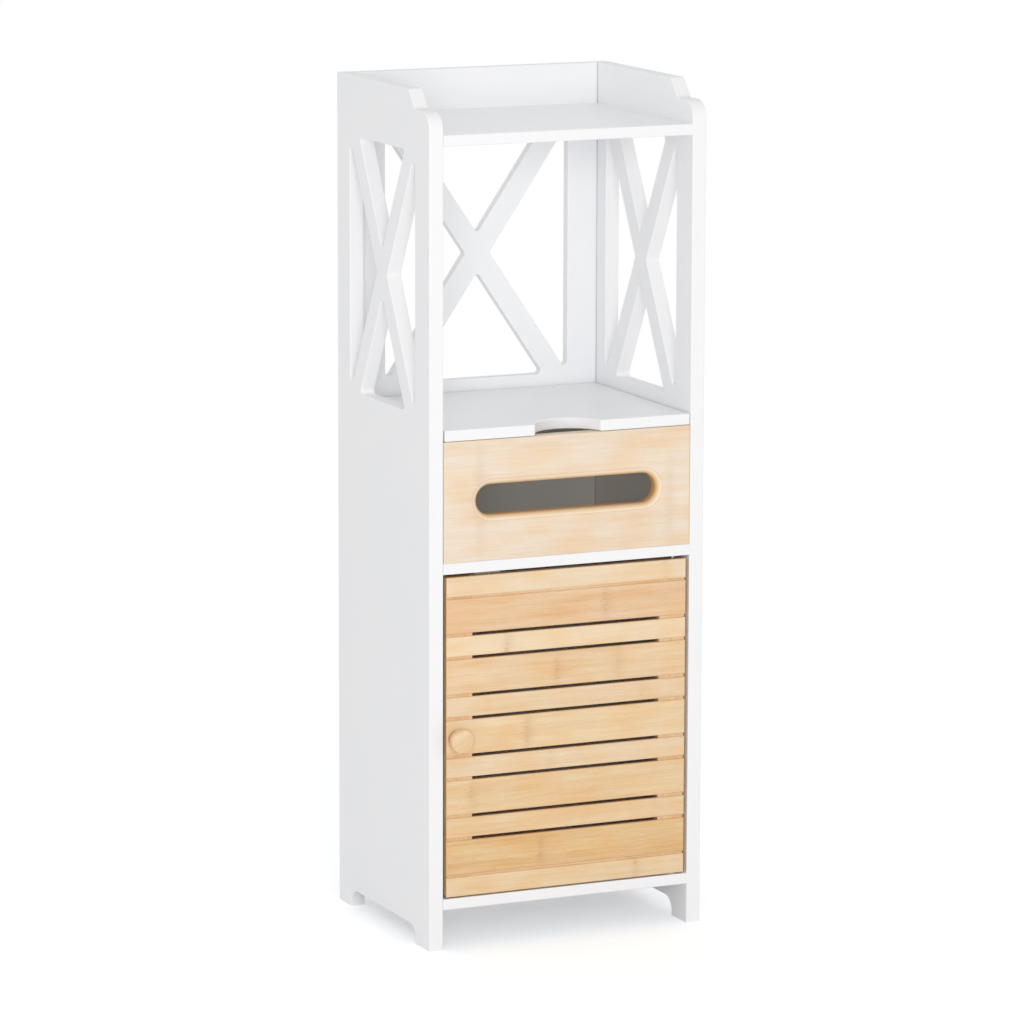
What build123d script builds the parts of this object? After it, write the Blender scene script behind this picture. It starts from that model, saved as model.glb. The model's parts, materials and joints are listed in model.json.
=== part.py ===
from build123d import *
from math import asin, atan2, cos, hypot, sin, tan
import os

os.makedirs("parts", exist_ok=True)

# Boards
side_board = 16
shelf_board = 12
back_board = 12
front_board = 14
edge_round = 1.2

# Overall width and depth of the carcass, knob left out
width = 322
depth = 250

# Clear heights from the floor up
foot_space = 44
cupboard_height = 353
box_height = 130.5
open_height = 300
rim_height = 44.5

# Feet cut from the side panels
front_foot = 37
rear_foot = 34.5
arch_height = 19.5
arch_round = 16

# Stepped front end of the rim on each side panel
rim_step = 20
nose_round = 20
step_foot = 38
step_run = 17
step_round = 6
step_crest_round = 3

# Windows with crossed bars
bar_width = 24
window_round = 4
window_below = 13.5
window_above = 8.5
side_window_front = 38.5
side_window_rear = 35.5
back_window_side = 35.5

# Lid of the box compartment
lid_end_gap = 1.5
lid_rear_gap = 2
lid_pin_inset = 7
notch_width = 77
notch_depth = 30
notch_corner_round = 2.5

# Bamboo front with its slot
front_end_gap = 0.4
front_top_gap = 0.9
slot_length = 210.5
slot_height = 32.5
slot_round = 7

# Slatted door
door_end_gap = 3.75
door_top_gap = 3.5
door_bottom_gap = 1.5
slat_board = 7
slat_lap = 2.5
slat_lap_gap = 0.25
frame_board = 14.5
wide_slat = 37.6
narrow_slat = 21.6
slat_gap = 3.3
end_slat_gap = 2.4
wide_slats = 5
slat_round = 1.8
frame_inset = 1
stile_width = 30
rail_width = 30

# Knob, turned from bamboo
knob_projection = 21
knob_radius = 13
knob_neck_radius = 6
knob_base_radius = 8.5
knob_rim = 3
knob_edge_round = 1.5
knob_inset = 10.5

# Pivots
door_pin_radius = 2
door_pin_inset = 12
door_pin_setback = 7.5
door_pin_grip = 14
lid_pin_radius = 2.5
lid_pin_grip = 13
bush_wall = 1.5
bush_length = 8
bush_flange = 2
seat_gap = 0.3
flange_thickness = 1
running_fit = 0.08
pressed_fit = 0.05
hole_end_gap = 0.5

# Cam fittings and dowels in the shelf ends
bolt_setback = 42
bolt_thread_radius = 2.5
bolt_thread_length = 10
bolt_neck_radius = 1.8
bolt_head_radius = 3
bolt_head_length = 2.5
cam_radius = 6
cam_height = 9.5
cam_inset = 24
cam_slot_width = 1.6
cam_slot_depth = 1.5
fitting_gap = 0.3
dowel_radius = 3
dowel_in_side = 10
dowel_in_shelf = 14
front_dowel_inset = 27
back_dowel_radius = 3
back_dowel_length = 20
back_dowels = 4
back_dowel_inset = 78
frame_dowel_radius = 2.5
frame_dowel_length = 20
frame_dowel_spacing = 15

# Screws
back_screw_radius = 1.75
back_screw_length = 35
back_screw_head = 3.5
back_screw_inset = 55
knob_screw_radius = 2
knob_screw_bite = 11
knob_screw_head = 4
knob_screw_head_height = 2.2
knob_screw_ease = 1
catch_screw_radius = 1.5
catch_screw_length = 10
catch_screw_head = 2.7
drive_width = 0.8

# Magnetic catch under the divider shelf
catch_width = 46
catch_depth = 15
catch_height = 20
catch_side_gap = 36
catch_ear = 8
catch_ear_thickness = 3
magnet_width = 20
magnet_height = 8
magnet_depth = 6
strike_width = 38
strike_height = 12
strike_thickness = 1.2
strike_air = 0.4
strike_top_gap = 2

# Levels and faces worked out from the sizes above
front_y = -(depth - knob_projection) / 2
back_y = front_y + depth
inner_back_y = back_y - back_board
inner_x = width / 2 - side_board
inner_width = 2 * inner_x
bottom_z = foot_space
cupboard_z = bottom_z + shelf_board
divider_z = cupboard_z + cupboard_height
box_z = divider_z + shelf_board
lid_z = box_z + box_height
open_z = lid_z + shelf_board
top_shelf_z = open_z + open_height
rim_z = top_shelf_z + shelf_board
height = rim_z + rim_height
shelf_levels = {"bottom_shelf": bottom_z, "divider_shelf": divider_z, "top_shelf": top_shelf_z}

# Each end of the cabinet, as the inner face's x and the way from it into the cabinet
ends = [(-inner_x, 1), (inner_x, -1)]


def facing(x, y, z, *direction):
    """A plane at a point whose normal runs in the given direction."""
    return Plane(origin=(x, y, z), z_dir=direction)


def drill(mouths, radius, depth_in):
    """Round blind holes; each mouth is a plane whose normal points out of the hole."""
    with Locations(*mouths):
        Cylinder(radius, depth_in, align=(Align.CENTER, Align.CENTER, Align.MAX), mode=Mode.SUBTRACT)


def countersink(mouths, radius, head_radius, depth_in):
    """Screw holes with a cone at the mouth for a flush head."""
    drill(mouths, radius, depth_in)
    with Locations(*mouths):
        with Locations((0, 0, -(head_radius - radius) / 2)):
            Cone(radius, head_radius, head_radius - radius, mode=Mode.SUBTRACT)


def turned(*outline):
    """A round piece from the half outline of its section, as (radius, height) points."""
    with BuildPart() as piece:
        with BuildSketch(Plane.XZ):
            with BuildLine():
                Polyline(*outline, close=True)
            make_face()
        revolve(axis=Axis.Z)
    return piece.part


def dowel(radius, start, end):
    """A plain wooden dowel with eased ends, between two heights on its plane's normal."""
    ease = radius / 5
    return turned((0, start), (radius - ease, start), (radius, start + ease),
                  (radius, end - ease), (radius - ease, end), (0, end))


def bush(bore, sleeve_radius):
    """A nylon bush with its flange on the face that it is pressed into."""
    flange_radius = sleeve_radius + bush_flange
    return turned((bore, -bush_length), (sleeve_radius, -bush_length), (sleeve_radius, 0),
                  (flange_radius, 0), (flange_radius, flange_thickness), (bore, flange_thickness))


def flush_screw(radius, length, head_radius):
    """A countersunk screw with its head flush at height 0, a crossed drive and a point below."""
    cone = head_radius - radius
    blank = turned((0, 0), (head_radius, 0), (radius, -cone), (radius, 2 * radius - length), (0, -length))
    with BuildPart() as screw:
        add(blank)
        with BuildSketch(Plane.XY):
            for turn in (0, 90):
                Rectangle(head_radius, drive_width, rotation=turn)
        extrude(amount=-cone / 2, mode=Mode.SUBTRACT)
    return screw.part


def save(piece, name):
    """Label a finished piece and write it as its own file."""
    piece.part.label = name
    export_step(piece.part, f"parts/{name}.step")


def save_group(name, master, places):
    """Write copies of one small part as a single node of separate solids."""
    with BuildPart() as group:
        with Locations(*places):
            add(master)
    save(group, name)


# Cam bolts and a dowel in each end of each fixed shelf, entering through the side panels' inner faces
shelf_middle_y = (front_y + inner_back_y) / 2
bolt_rows = [front_y + bolt_setback, inner_back_y - bolt_setback]
shelf_middles = {name: z + shelf_board / 2 for name, z in shelf_levels.items()}
bolt_mouths = {x: [facing(x, y, z, way, 0, 0) for z in shelf_middles.values() for y in bolt_rows]
               for x, way in ends}
dowel_mouths = {x: [facing(x, shelf_middle_y, z, way, 0, 0) for z in shelf_middles.values()]
                for x, way in ends}
cam_planes = {name: [facing(x + way * cam_inset, y, z, 0, 0, -1) for x, way in ends for y in bolt_rows]
              for name, z in shelf_levels.items()}
head_start = cam_inset - bolt_head_radius - fitting_gap - bolt_head_length / 2

# Dowels in the ends of the slotted front
front_height = box_height - front_top_gap
front_dowel_y = front_y + front_board / 2
front_dowel_zs = [box_z + front_dowel_inset, box_z + front_height - front_dowel_inset]
front_mouths = {x: [facing(x, front_dowel_y, z, way, 0, 0) for z in front_dowel_zs] for x, way in ends}

# Dowels in the edges of the back panel, and screws through it into the shelves
back_dowel_y = back_y - back_board / 2
back_dowel_pitch = (height - bottom_z - 2 * back_dowel_inset) / (back_dowels - 1)
back_dowel_zs = [bottom_z + back_dowel_inset + i * back_dowel_pitch for i in range(back_dowels)]
back_mouths = {x: [facing(x, back_dowel_y, z, way, 0, 0) for z in back_dowel_zs] for x, way in ends}
back_screw_xs = [x + way * back_screw_inset for x, way in ends]
back_screw_mouths = [facing(x, back_y, z, 0, 1, 0) for z in shelf_middles.values() for x in back_screw_xs]

# The lid's pivot axis near its rear edge
lid_back_y = inner_back_y - lid_rear_gap
lid_pin_y = lid_back_y - lid_pin_inset
lid_pin_z = lid_z + shelf_board / 2
lid_bush_radius = lid_pin_radius + running_fit + bush_wall
lid_bush_mouths = {x: facing(x, lid_pin_y, lid_pin_z, way, 0, 0) for x, way in ends}

# The door's outline and its pivot axis near its right edge
door_right_x = inner_x - door_end_gap
door_left_x = -door_right_x
frame_front_y = front_y + slat_lap
door_back_y = frame_front_y + frame_board
door_low_z = cupboard_z + door_bottom_gap
door_high_z = divider_z - door_top_gap
frame_low_z = door_low_z + frame_inset
frame_high_z = door_high_z - frame_inset
door_pin_x = door_right_x - door_pin_inset
door_pin_y = frame_front_y + door_pin_setback
door_bush_radius = door_pin_radius + running_fit + bush_wall
door_bush_mouths = {"bottom_shelf": facing(door_pin_x, door_pin_y, cupboard_z, 0, 0, 1),
                    "divider_shelf": facing(door_pin_x, door_pin_y, divider_z, 0, 0, -1)}

# The magnetic catch under the divider shelf, behind the door's top rail
catch_x = -inner_x + catch_side_gap + catch_width / 2
catch_y = door_back_y + strike_thickness + strike_air
catch_middle_y = catch_y + catch_depth / 2
catch_screw_xs = [catch_x + side * (catch_width - catch_ear) / 2 for side in (-1, 1)]
strike_z = frame_high_z - strike_top_gap - strike_height / 2


def cross_window(centre, half_width, half_height):
    """Cut four rounded triangles that leave two crossed bars inside a rectangle."""
    lean = atan2(half_height, half_width) + asin(bar_width / 2 / hypot(half_width, half_height))
    waist = bar_width / 2 / sin(lean)
    crotch = bar_width / 2 / cos(lean)
    reach = (half_height - crotch) / tan(lean)
    for side in (-1, 1):
        upright = [(side * half_width, -half_height), (side * half_width, half_height), (side * waist, 0)]
        level = [(-reach, side * half_height), (reach, side * half_height), (0, side * crotch)]
        for triangle in (upright, level):
            with BuildLine() as loop:
                FilletPolyline([(centre[0] + u, centre[1] + v) for u, v in triangle],
                               radius=window_round, close=True)
            make_face(loop.edges(), mode=Mode.SUBTRACT)


window_low_z = open_z + window_below
window_high_z = top_shelf_z - window_above
window_middle_z = (window_low_z + window_high_z) / 2
window_half_height = (window_high_z - window_low_z) / 2


def side_panel(name, x, way):
    """A side panel with feet, a stepped rim, a crossed window and the fixing holes of its inner face."""
    outline = {
        (front_y, 0): 0,
        (front_y, height - rim_step): nose_round,
        (front_y + step_foot, height - rim_step): step_round,
        (front_y + step_foot + step_run, height): step_crest_round,
        (back_y, height): 0,
        (back_y, 0): 0,
        (back_y - rear_foot, 0): 0,
        (back_y - rear_foot, arch_height): arch_round,
        (front_y + front_foot, arch_height): arch_round,
        (front_y + front_foot, 0): 0,
    }
    window_front_y = front_y + side_window_front
    window_back_y = back_y - side_window_rear
    with BuildPart() as panel:
        with BuildSketch(Plane.YZ.offset(x)):
            with BuildLine():
                FilletPolyline(list(outline), radius=list(outline.values()), close=True)
            make_face()
            cross_window(((window_front_y + window_back_y) / 2, window_middle_z),
                         (window_back_y - window_front_y) / 2, window_half_height)
        extrude(amount=-way * side_board)
        rims = panel.faces().filter_by(Axis.X).edges()
        fillet([edge for edge in rims if edge.center().Z > edge_round], edge_round)
        drill(bolt_mouths[x], bolt_thread_radius + pressed_fit, bolt_thread_length + hole_end_gap)
        drill(dowel_mouths[x] + front_mouths[x], dowel_radius + pressed_fit, dowel_in_side + hole_end_gap)
        drill(back_mouths[x], back_dowel_radius + pressed_fit, back_dowel_length / 2 + hole_end_gap)
        drill([lid_bush_mouths[x]], lid_bush_radius + pressed_fit, bush_length + hole_end_gap)
    save(panel, name)


side_panel("left_side_panel", *ends[0])
side_panel("right_side_panel", *ends[1])

# Back panel between the side panels, up to the top of the rim
with BuildPart() as back_panel:
    with BuildSketch(Plane.XZ.offset(-inner_back_y)):
        with Locations((0, (bottom_z + height) / 2)):
            Rectangle(inner_width, height - bottom_z)
        cross_window((0, window_middle_z), inner_x - back_window_side, window_half_height)
    extrude(amount=-back_board)
    rims = back_panel.faces().filter_by(Axis.Y).edges()
    fillet([edge for edge in rims if edge.center().Z > window_low_z - edge_round
            and abs(edge.center().X) < inner_x - edge_round], edge_round)
    countersink(back_screw_mouths, back_screw_radius + pressed_fit, back_screw_head, back_board)
    for x, way in ends:
        drill([facing(x, back_dowel_y, z, -way, 0, 0) for z in back_dowel_zs],
              back_dowel_radius + pressed_fit, back_dowel_length / 2 + hole_end_gap)
save(back_panel, "back_panel")

# The three fixed shelves, each with its end fittings and rear screw holes
for name, z in shelf_levels.items():
    middle_z = shelf_middles[name]
    with BuildPart() as shelf:
        with BuildSketch(Plane.XY.offset(z)):
            with Locations((0, shelf_middle_y)):
                Rectangle(inner_width, inner_back_y - front_y)
        extrude(amount=shelf_board)
        fillet(shelf.faces().sort_by(Axis.Y)[0].edges().filter_by(Axis.X), edge_round)
        for x, way in ends:
            drill([facing(x, y, middle_z, -way, 0, 0) for y in bolt_rows],
                  bolt_head_radius + fitting_gap, cam_inset)
            drill([facing(x, shelf_middle_y, middle_z, -way, 0, 0)],
                  dowel_radius + pressed_fit, dowel_in_shelf + hole_end_gap)
        drill(cam_planes[name], cam_radius + pressed_fit, cam_height)
        drill([facing(x, inner_back_y, middle_z, 0, 1, 0) for x in back_screw_xs],
              back_screw_radius + pressed_fit, back_screw_length - back_board + hole_end_gap)
        if name in door_bush_mouths:
            drill([door_bush_mouths[name]], door_bush_radius + pressed_fit, bush_length + hole_end_gap)
        if name == "divider_shelf":
            drill([facing(x, catch_middle_y, z, 0, 0, -1) for x in catch_screw_xs],
                  catch_screw_radius + pressed_fit, catch_screw_length - catch_ear_thickness + hole_end_gap)
    save(shelf, name)

# Lid over the box compartment, with a finger notch in its front edge
notch_radius = (notch_width ** 2 / 4 + notch_depth ** 2) / (2 * notch_depth)
with BuildPart() as lid:
    with BuildSketch(Plane.XY.offset(lid_z)) as lid_outline:
        with Locations((0, (front_y + lid_back_y) / 2)):
            Rectangle(inner_width - 2 * lid_end_gap, lid_back_y - front_y)
        with Locations((0, front_y + notch_depth - notch_radius)):
            Circle(notch_radius, mode=Mode.SUBTRACT)
        notch_corners = lid_outline.vertices().filter_by_position(Axis.X, -notch_width, notch_width)
        fillet(notch_corners, notch_corner_round)
    extrude(amount=shelf_board)
    fillet(lid.faces().filter_by(Axis.Z).edges(), edge_round)
    drill([facing(x + way * lid_end_gap, lid_pin_y, lid_pin_z, -way, 0, 0) for x, way in ends],
          lid_pin_radius + pressed_fit, lid_pin_grip + hole_end_gap)
save(lid, "lid")

# Bamboo front with a long rounded slot, fixed between the side panels
front_length = inner_width - 2 * front_end_gap
with BuildPart() as slotted_front_panel:
    with BuildSketch(Plane.XZ.offset(-front_y)):
        with Locations((0, box_z + front_height / 2)):
            Rectangle(front_length, front_height)
            SlotOverall(slot_length, slot_height, mode=Mode.SUBTRACT)
    extrude(amount=-front_board)
    fillet(slotted_front_panel.faces().sort_by(Axis.Y)[0].inner_wires()[0].edges(), slot_round)
    fillet(slotted_front_panel.faces().sort_by(Axis.Z)[-1].edges().filter_by(Axis.X), edge_round)
    for x, way in ends:
        drill([facing(x + way * front_end_gap, front_dowel_y, z, -way, 0, 0) for z in front_dowel_zs],
              dowel_radius + pressed_fit, dowel_in_shelf + hole_end_gap)
save(slotted_front_panel, "slotted_front_panel")

# The opening inside the door frame
frame_x = door_right_x - frame_inset
rail_x = frame_x - stile_width
opening_low_z = frame_low_z + rail_width
opening_high_z = frame_high_z - rail_width

# Door slats, narrow and wide in turn from the top, each thinned to a lap where it is glued over the frame
slats = 2 * wide_slats + 1
middle_run = wide_slats * wide_slat + (wide_slats - 1) * (narrow_slat + 2 * slat_gap)
end_slat = (door_high_z - door_low_z - middle_run - 2 * end_slat_gap) / 2
slat_heights = [end_slat] + [wide_slat, narrow_slat] * (wide_slats - 1) + [wide_slat, end_slat]
slat_gaps = [end_slat_gap] + [slat_gap] * (slats - 3) + [end_slat_gap]
slat_middles = [door_high_z - sum(slat_heights[:i]) - sum(slat_gaps[:i]) - slat_heights[i] / 2
                for i in range(slats)]
knob_slat = slats // 2
knob_x = door_left_x + knob_inset
knob_z = slat_middles[knob_slat]

for number in range(slats):
    middle_z = slat_middles[number]
    with BuildPart() as slat:
        with BuildSketch(Plane.XZ.offset(-front_y)):
            with Locations((0, middle_z)):
                Rectangle(door_right_x - door_left_x, slat_heights[number])
        extrude(amount=-slat_board)
        fillet(slat.faces().sort_by(Axis.Y)[0].edges(), slat_round)
        with BuildSketch(Plane.XZ.offset(-frame_front_y)):
            with Locations((0, (opening_low_z + opening_high_z) / 2)):
                Rectangle(inner_width, cupboard_height)
                Rectangle(2 * (rail_x - slat_lap_gap), opening_high_z - opening_low_z - 2 * slat_lap_gap,
                          mode=Mode.SUBTRACT)
        extrude(amount=-slat_board, mode=Mode.SUBTRACT)
        if number == knob_slat:
            drill([facing(knob_x, frame_front_y, knob_z, 0, 1, 0)],
                  knob_screw_radius + pressed_fit, slat_lap)
    save(slat, f"door_slat_{number + 1:02d}")

# Door frame behind the slats: two uprights and two cross pieces butted between them with dowels
frame_dowel_y = frame_front_y + frame_board / 2
rail_middles = {"door_rail_bottom": opening_low_z - rail_width / 2,
                "door_rail_top": opening_high_z + rail_width / 2}
frame_dowel_zs = [z + side * frame_dowel_spacing / 2 for z in rail_middles.values() for side in (-1, 1)]

for name, side in (("door_stile_left", -1), ("door_stile_right", 1)):
    with BuildPart() as stile:
        with BuildSketch(Plane.XZ.offset(-frame_front_y)):
            with Locations((side * (rail_x + stile_width / 2), (frame_low_z + frame_high_z) / 2)):
                Rectangle(stile_width, frame_high_z - frame_low_z)
        extrude(amount=-frame_board)
        fillet(stile.faces().sort_by(Axis.Y)[-1].edges().sort_by(SortBy.LENGTH)[-2:], edge_round)
        drill([facing(side * rail_x, frame_dowel_y, z, -side, 0, 0) for z in frame_dowel_zs],
              frame_dowel_radius + pressed_fit, frame_dowel_length / 2 + hole_end_gap)
        if side > 0:
            drill([facing(door_pin_x, door_pin_y, frame_high_z, 0, 0, 1),
                   facing(door_pin_x, door_pin_y, frame_low_z, 0, 0, -1)],
                  door_pin_radius + pressed_fit, door_pin_grip + hole_end_gap)
        else:
            drill([facing(knob_x, door_back_y, knob_z, 0, 1, 0)],
                  knob_screw_radius + pressed_fit, frame_board)
    save(stile, name)

for name, middle_z in rail_middles.items():
    with BuildPart() as rail:
        with BuildSketch(Plane.XZ.offset(-frame_front_y)):
            with Locations((0, middle_z)):
                Rectangle(2 * rail_x, rail_width)
        extrude(amount=-frame_board)
        fillet(rail.faces().sort_by(Axis.Y)[-1].edges().filter_by(Axis.X), edge_round)
        for side in (-1, 1):
            drill([facing(side * rail_x, frame_dowel_y, z, side, 0, 0) for z in frame_dowel_zs],
                  frame_dowel_radius + pressed_fit, frame_dowel_length / 2 + hole_end_gap)
        if name == "door_rail_top":
            drill([facing(catch_x, door_back_y, strike_z, 0, 1, 0)],
                  catch_screw_radius + pressed_fit, catch_screw_length - strike_thickness + hole_end_gap)
    save(rail, name)

save_group("door_frame_dowels", dowel(frame_dowel_radius, -frame_dowel_length / 2, frame_dowel_length / 2),
           [facing(side * rail_x, frame_dowel_y, z, side, 0, 0) for z in frame_dowel_zs for side in (-1, 1)])

# Knob: a waisted neck that flares into a flat round head with eased edges
head_start_out = knob_projection - knob_rim - 2 * knob_edge_round
with BuildPart() as door_knob:
    with BuildSketch(Plane(origin=(knob_x, front_y, knob_z), x_dir=(1, 0, 0), z_dir=(0, 0, -1))):
        with BuildLine():
            Polyline((0, knob_projection), (0, 0), (knob_base_radius, 0))
            Spline((knob_base_radius, 0), (knob_neck_radius, head_start_out / 2),
                   (knob_radius, head_start_out), tangents=[(-1, 1), (1, 0.6)])
            Line((knob_radius, head_start_out), (knob_radius, knob_projection - knob_edge_round))
            RadiusArc((knob_radius, knob_projection - knob_edge_round),
                      (knob_radius - knob_edge_round, knob_projection), -knob_edge_round)
            Line((knob_radius - knob_edge_round, knob_projection), (0, knob_projection))
        make_face()
    revolve(axis=Axis((knob_x, front_y, knob_z), (0, 1, 0)))
    drill([facing(knob_x, front_y, knob_z, 0, 1, 0)], knob_screw_radius + pressed_fit,
          knob_screw_bite + hole_end_gap)
save(door_knob, "door_knob")

knob_screw_length = frame_board + slat_lap + knob_screw_bite
knob_screw_blank = turned((0, knob_screw_head_height),
                          (knob_screw_head - knob_screw_ease, knob_screw_head_height),
                          (knob_screw_head, knob_screw_head_height - knob_screw_ease), (knob_screw_head, 0),
                          (knob_screw_radius, 0), (knob_screw_radius, -knob_screw_length),
                          (0, -knob_screw_length))
with BuildPart() as knob_screw:
    with Locations(facing(knob_x, door_back_y, knob_z, 0, 1, 0)):
        add(knob_screw_blank)
        with Locations((0, 0, knob_screw_head_height)):
            for turn in (0, 90):
                Box(knob_screw_head, drive_width, knob_screw_head_height, rotation=(0, 0, turn),
                    mode=Mode.SUBTRACT)
save(knob_screw, "knob_screw")

# Door pivots: the lower pin's collar carries the door on the lower bush, and the upper pin is plain
tail = bush_length - hole_end_gap
upper_reach = door_top_gap + frame_inset + tail
lower_gap = door_bottom_gap + frame_inset
collar_end = lower_gap - flange_thickness - seat_gap
collar_radius = door_pin_radius + bush_flange / 2
save_group("door_pin_upper", turned((0, -door_pin_grip), (door_pin_radius, -door_pin_grip),
                                    (door_pin_radius, upper_reach), (0, upper_reach)),
           [facing(door_pin_x, door_pin_y, frame_high_z, 0, 0, 1)])
save_group("door_pin_lower", turned((0, -door_pin_grip), (door_pin_radius, -door_pin_grip),
                                    (door_pin_radius, 0), (collar_radius, 0), (collar_radius, collar_end),
                                    (door_pin_radius, collar_end), (door_pin_radius, lower_gap + tail),
                                    (0, lower_gap + tail)),
           [facing(door_pin_x, door_pin_y, frame_low_z, 0, 0, -1)])
door_bush = bush(door_pin_radius + running_fit, door_bush_radius)
save_group("door_bush_upper", door_bush, [door_bush_mouths["divider_shelf"]])
save_group("door_bush_lower", door_bush, [door_bush_mouths["bottom_shelf"]])

# Lid pivots: plain pins pressed into the lid's ends, turning in bushes in the side panels
lid_bush = bush(lid_pin_radius + running_fit, lid_bush_radius)
lid_pin_end = lid_end_gap + tail
lid_pin = turned((0, -lid_pin_grip), (lid_pin_radius, -lid_pin_grip), (lid_pin_radius, lid_pin_end),
                 (0, lid_pin_end))
for name, (x, way) in zip(("left", "right"), ends):
    save_group(f"lid_pin_{name}", lid_pin,
               [facing(x + way * lid_end_gap, lid_pin_y, lid_pin_z, -way, 0, 0)])
    save_group(f"lid_bush_{name}", lid_bush, [lid_bush_mouths[x]])

# Magnetic catch: an eared housing with a magnet in its face, and a steel strike on the door
ear_z = divider_z - catch_ear_thickness
with BuildPart() as catch_housing:
    with BuildSketch(Plane.XY.offset(divider_z)):
        with Locations((catch_x, catch_middle_y)):
            RectangleRounded(catch_width, catch_depth, edge_round)
    extrude(amount=-catch_ear_thickness)
    with BuildSketch(Plane.XY.offset(ear_z)):
        with Locations((catch_x, catch_middle_y)):
            Rectangle(catch_width - 2 * catch_ear, catch_depth)
    extrude(amount=catch_ear_thickness - catch_height)
    with BuildSketch(Plane.XZ.offset(-catch_y)):
        with Locations((catch_x, strike_z)):
            Rectangle(magnet_width + 2 * pressed_fit, magnet_height + 2 * pressed_fit)
    extrude(amount=-magnet_depth - pressed_fit, mode=Mode.SUBTRACT)
    countersink([facing(x, catch_middle_y, ear_z, 0, 0, -1) for x in catch_screw_xs],
                catch_screw_radius + pressed_fit, catch_screw_head, catch_ear_thickness)
save(catch_housing, "catch_housing")

with BuildPart() as catch_magnet:
    with BuildSketch(Plane.XZ.offset(-catch_y)):
        with Locations((catch_x, strike_z)):
            Rectangle(magnet_width, magnet_height)
    extrude(amount=-magnet_depth)
save(catch_magnet, "catch_magnet")

catch_screw = flush_screw(catch_screw_radius, catch_screw_length, catch_screw_head)
save_group("catch_screws", catch_screw,
           [facing(x, catch_middle_y, ear_z, 0, 0, -1) for x in catch_screw_xs])

strike_face_y = door_back_y + strike_thickness
with BuildPart() as strike_plate:
    with BuildSketch(Plane.XZ.offset(-door_back_y)):
        with Locations((catch_x, strike_z)):
            RectangleRounded(strike_width, strike_height, edge_round)
    extrude(amount=-strike_thickness)
    countersink([facing(catch_x, strike_face_y, strike_z, 0, 1, 0)],
                catch_screw_radius + pressed_fit, catch_screw_head, strike_thickness)
save(strike_plate, "strike_plate")
save_group("strike_screw", catch_screw, [facing(catch_x, strike_face_y, strike_z, 0, 1, 0)])

# Cam bolts screwed into the side panels, with their heads held by cam locks in the shelves
all_bolt_mouths = [mouth for x, way in ends for mouth in bolt_mouths[x]]
head_end = head_start + bolt_head_length
cam_bolt = turned((0, -bolt_thread_length), (bolt_thread_radius, -bolt_thread_length),
                  (bolt_thread_radius, 0), (bolt_neck_radius, 0), (bolt_neck_radius, head_start),
                  (bolt_head_radius, head_start), (bolt_head_radius, head_end), (0, head_end))
save_group("cam_bolts", cam_bolt, all_bolt_mouths)
with BuildPart() as cam_locks:
    with Locations(*[plane for planes in cam_planes.values() for plane in planes]):
        Cylinder(cam_radius, cam_height, align=(Align.CENTER, Align.CENTER, Align.MAX))
        for turn in (0, 90):
            Box(cam_radius, cam_slot_width, cam_slot_depth, rotation=(0, 0, turn),
                align=(Align.CENTER, Align.CENTER, Align.MAX), mode=Mode.SUBTRACT)
    for x, way in ends:
        for z in shelf_middles.values():
            drill([facing(x, y, z, -way, 0, 0) for y in bolt_rows],
                  bolt_neck_radius + fitting_gap, head_end)
            drill([facing(x + way * (head_start - fitting_gap), y, z, -way, 0, 0) for y in bolt_rows],
                  bolt_head_radius + fitting_gap / 2, bolt_head_length + 2 * fitting_gap)
save(cam_locks, "cam_locks")

# Wooden dowels and the screws through the back panel
save_group("shelf_dowels", dowel(dowel_radius, -dowel_in_side, dowel_in_shelf),
           [mouth for x, way in ends for mouth in dowel_mouths[x]])
save_group("front_dowels", dowel(dowel_radius, -dowel_in_side, front_end_gap + dowel_in_shelf),
           [mouth for x, way in ends for mouth in front_mouths[x]])
save_group("back_dowels", dowel(back_dowel_radius, -back_dowel_length / 2, back_dowel_length / 2),
           [mouth for x, way in ends for mouth in back_mouths[x]])
save_group("back_screws", flush_screw(back_screw_radius, back_screw_length, back_screw_head),
           back_screw_mouths)
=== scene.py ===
import json
import math

import bpy
import numpy as np
from mathutils import Matrix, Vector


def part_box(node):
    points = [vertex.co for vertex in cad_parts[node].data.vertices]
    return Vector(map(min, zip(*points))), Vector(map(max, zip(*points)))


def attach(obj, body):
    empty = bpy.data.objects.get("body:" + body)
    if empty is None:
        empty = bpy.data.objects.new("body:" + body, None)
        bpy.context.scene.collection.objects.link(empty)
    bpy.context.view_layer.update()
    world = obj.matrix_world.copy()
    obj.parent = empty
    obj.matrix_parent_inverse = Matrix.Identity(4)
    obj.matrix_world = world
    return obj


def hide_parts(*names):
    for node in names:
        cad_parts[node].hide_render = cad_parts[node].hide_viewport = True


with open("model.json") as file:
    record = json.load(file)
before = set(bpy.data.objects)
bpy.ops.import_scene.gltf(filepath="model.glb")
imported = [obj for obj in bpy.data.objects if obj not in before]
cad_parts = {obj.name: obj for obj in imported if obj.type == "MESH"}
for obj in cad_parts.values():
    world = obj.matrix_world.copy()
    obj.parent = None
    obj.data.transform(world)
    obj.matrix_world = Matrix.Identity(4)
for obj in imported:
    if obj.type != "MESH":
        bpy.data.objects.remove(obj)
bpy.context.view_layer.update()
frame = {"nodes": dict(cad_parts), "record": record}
nodes = frame["nodes"]
print("frame loaded,", len(nodes), "nodes")

# The shot is taken from the left front, a little above the top shelf, with a long lens.
shot = {
    "place": (-2.3821, -5.2028, 1.4872),  # metres, in the frame of the unit
    "turn": -24.479,                      # degrees anticlockwise, seen from above
    "tilt": 10.298,                       # degrees down
    "roll": -0.157,                       # degrees
    "lens": 188.36, "sensor": 36,         # millimetres
    "nearest": 0.1, "furthest": 100,      # metres
}


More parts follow.
